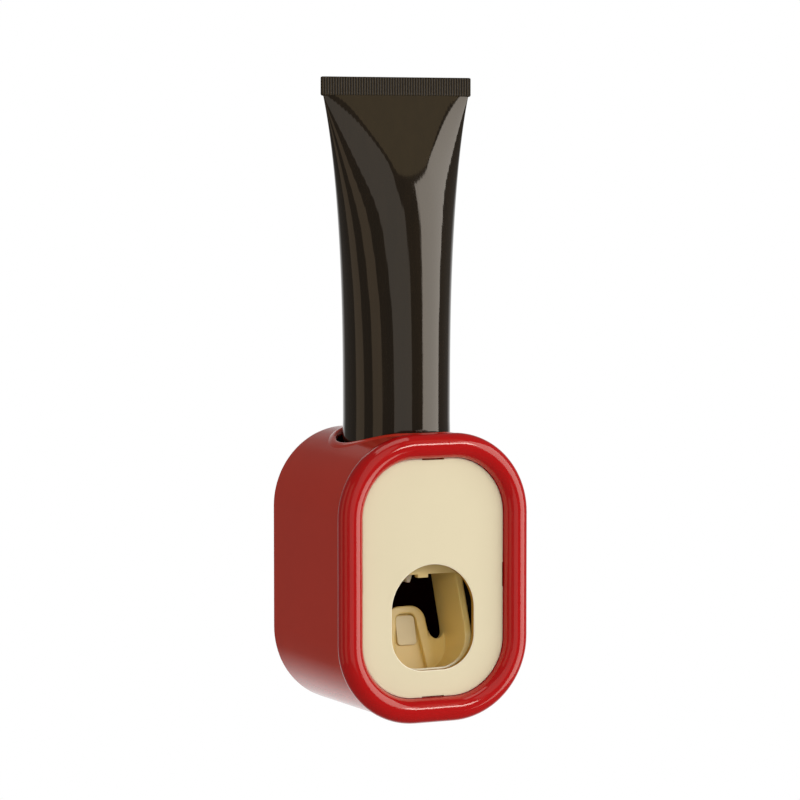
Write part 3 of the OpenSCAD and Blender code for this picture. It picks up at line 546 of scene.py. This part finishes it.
# Lip round the tube hole, as radius past the hole's wall and height over the housing's top
LIP = [(-0.0001, -0.0014), (-0.0001, -0.0002), (0.0001, 0.00015), (0.0004, 0.0004), (0.0008, 0.0005),
       (0.0013, 0.00045), (0.0018, 0.0003), (0.0023, 0.0001), (0.0027, -0.00005)]


def shell_top(x):
    """Height of the housing's outside over the place x."""
    over = max(0.0, abs(x) - (SHELL_HALF_W - SHELL_R))
    return SHELL_HALF_H - SHELL_R + math.sqrt(SHELL_R ** 2 - over ** 2)


def build_hole_lip():
    steps = 144
    verts = []
    for grow, rise in LIP:
        r = HOLE_R + grow
        for side, depth in around(steps):
            verts.append((r * side, TUBE_Y + r * depth, shell_top(r * side) + rise))
    faces = grid_faces(len(LIP), steps)
    add_piece("tube_hole_lip", verts, faces, "housing", LOOK["lip"], 60)


LOOK["lip"] = plastic("hole_lip_look", SHELL_RED, 0.14, 0.03, 0.000006, specular=0.45, tint=SHELL_TINT)
build_hole_lip()


FLOOR_Y = -0.05
FLOOR_Z = -0.30
FLOOR_R = 0.62


def stage_floor():
    """A pale round floor well below the object, which hangs on a wall."""
    me = bpy.data.meshes.new("floor")
    n = 64
    verts = [(0, FLOOR_Y, FLOOR_Z)]
    verts += [(FLOOR_R * side, FLOOR_Y + FLOOR_R * depth, FLOOR_Z) for side, depth in around(n)]
    me.from_pydata(verts, [], [(0, 1 + k, 1 + (k + 1) % n) for k in range(n)])
    ob = bpy.data.objects.new("floor", me)
    scene.collection.objects.link(ob)
    m, t, s = new_material("floor_look")
    cloud = noise_node(t, 6.0, 3.0, 0.5, coords(t))
    t.links.new(ramp(t, cloud, [(0.3, (0.80, 0.79, 0.77)), (0.7, (0.84, 0.83, 0.81))]),
                s.inputs["Base Color"])
    s.inputs["Roughness"].default_value = 0.9
    me.materials.append(m)
    ob.visible_glossy = False


stage_floor()

def background(t, color, strength):
    b = t.nodes.new("ShaderNodeBackground")
    b.inputs["Color"].default_value = (*color, 1.0)
    b.inputs["Strength"].default_value = strength
    return b.outputs[0]


def studio_world():
    """Dim warm surroundings, seen as white by the camera and through clear pieces.

    A white sweep stands behind the object. Glossy surfaces show it where they face it: widest below the
    horizon, and fading out above it.
    """
    world = bpy.data.worlds.new("studio")
    scene.world = world
    world.use_nodes = True
    t = world.node_tree
    t.nodes.clear()
    out = t.nodes.new("ShaderNodeOutputWorld")
    path = t.nodes.new("ShaderNodeLightPath")
    mix = t.nodes.new("ShaderNodeMixShader")
    x, y, z = parts(t, "Generated")
    across = math_node(t, "MULTIPLY", x, -BACK.x)
    along = math_node(t, "MULTIPLY", y, -BACK.y)
    below = math_node(t, "MAXIMUM", math_node(t, "MULTIPLY", z, -0.36), 0.0)
    ahead = math_node(t, "ADD", math_node(t, "ADD", across, along), below)
    sweep = math_node(t, "MULTIPLY", value_ramp(t, ahead, 0.80, 1.0, 0.0, 1.0),
                      value_ramp(t, z, 0.12, 0.58, 1.0, 0.0))
    shown = math_node(t, "MULTIPLY", path.outputs["Is Glossy Ray"], sweep)
    shown = math_node(t, "MAXIMUM", shown, path.outputs["Is Transmission Ray"])
    shown = math_node(t, "MAXIMUM", shown, path.outputs["Is Camera Ray"])
    t.links.new(shown, mix.inputs["Fac"])
    t.links.new(background(t, (1.0, 0.95, 0.88), 0.15), mix.inputs[1])
    t.links.new(background(t, (1.0, 1.0, 1.0), 1.0), mix.inputs[2])
    t.links.new(mix.outputs[0], out.inputs["Surface"])


studio_world()


def lamp(name, place, aim, size, power, color=(1.0, 0.97, 0.93), size_y=None, mirrored=True):
    """A flat lamp. One that isn't mirrored lights the object but doesn't show in its gloss."""
    data = bpy.data.lights.new(name, "AREA")
    data.shape = "RECTANGLE"
    data.size = size
    data.size_y = size_y if size_y else size
    data.energy = power
    data.color = color
    ob = bpy.data.objects.new(name, data)
    ob.location = place
    ob.rotation_mode = "QUATERNION"
    ob.rotation_quaternion = (Vector(aim) - Vector(place)).to_track_quat("-Z", "Y")
    ob.visible_glossy = mirrored
    scene.collection.objects.link(ob)
    return ob


MID = (0.0, -0.03, 0.05)
TUBE_TOP = (0.0, -0.03, 0.152)
WARM = (1.0, 0.80, 0.58)
lamp("key", (-0.15, -1.35, 0.85), MID, 0.9, 1.9, mirrored=False)
lamp("left_fill", (-0.95, -1.05, 0.15), MID, 0.7, 3.6, mirrored=False)
lamp("right_box", (1.01, -0.765, 0.14), MID, 1.00, 12.5, size_y=1.5)
strip = lamp("front_strip", (0.56, -1.18, 0.46), MID, 0.40, 3.0, size_y=0.22)
lamp("left_strip", (-1.19, -0.56, 0.10), MID, 0.50, 1.0, WARM, size_y=1.4)
lamp("left_rear_strip", (-1.18, 0.40, 0.10), MID, 0.50, 0.9, WARM, size_y=1.4)
lamp("front_box", (-0.24, -1.21, 0.45), MID, 0.92, 2.9, size_y=2.0)
lamp("lip_card", (0.09, 1.07, 0.78), MID, 0.50, 0.5, size_y=0.25)
lamp("tube_card", (0.544, -0.855, 0.996), TUBE_TOP, 0.36, 0.16, (1.0, 0.82, 0.50))
lamp("top", (0.0, -0.1, 1.3), MID, 0.8, 3.0)

# The front strip draws the thin bright line on the rim. It is kept off the tube.
flagged = bpy.data.collections.new("off_the_strip")
for ob in TUBE_PIECES:
    flagged.objects.link(ob)
strip.light_linking.receiver_collection = flagged
for entry in flagged.collection_objects:
    entry.light_linking.link_state = "EXCLUDE"

scene.view_settings.view_transform = "Standard"
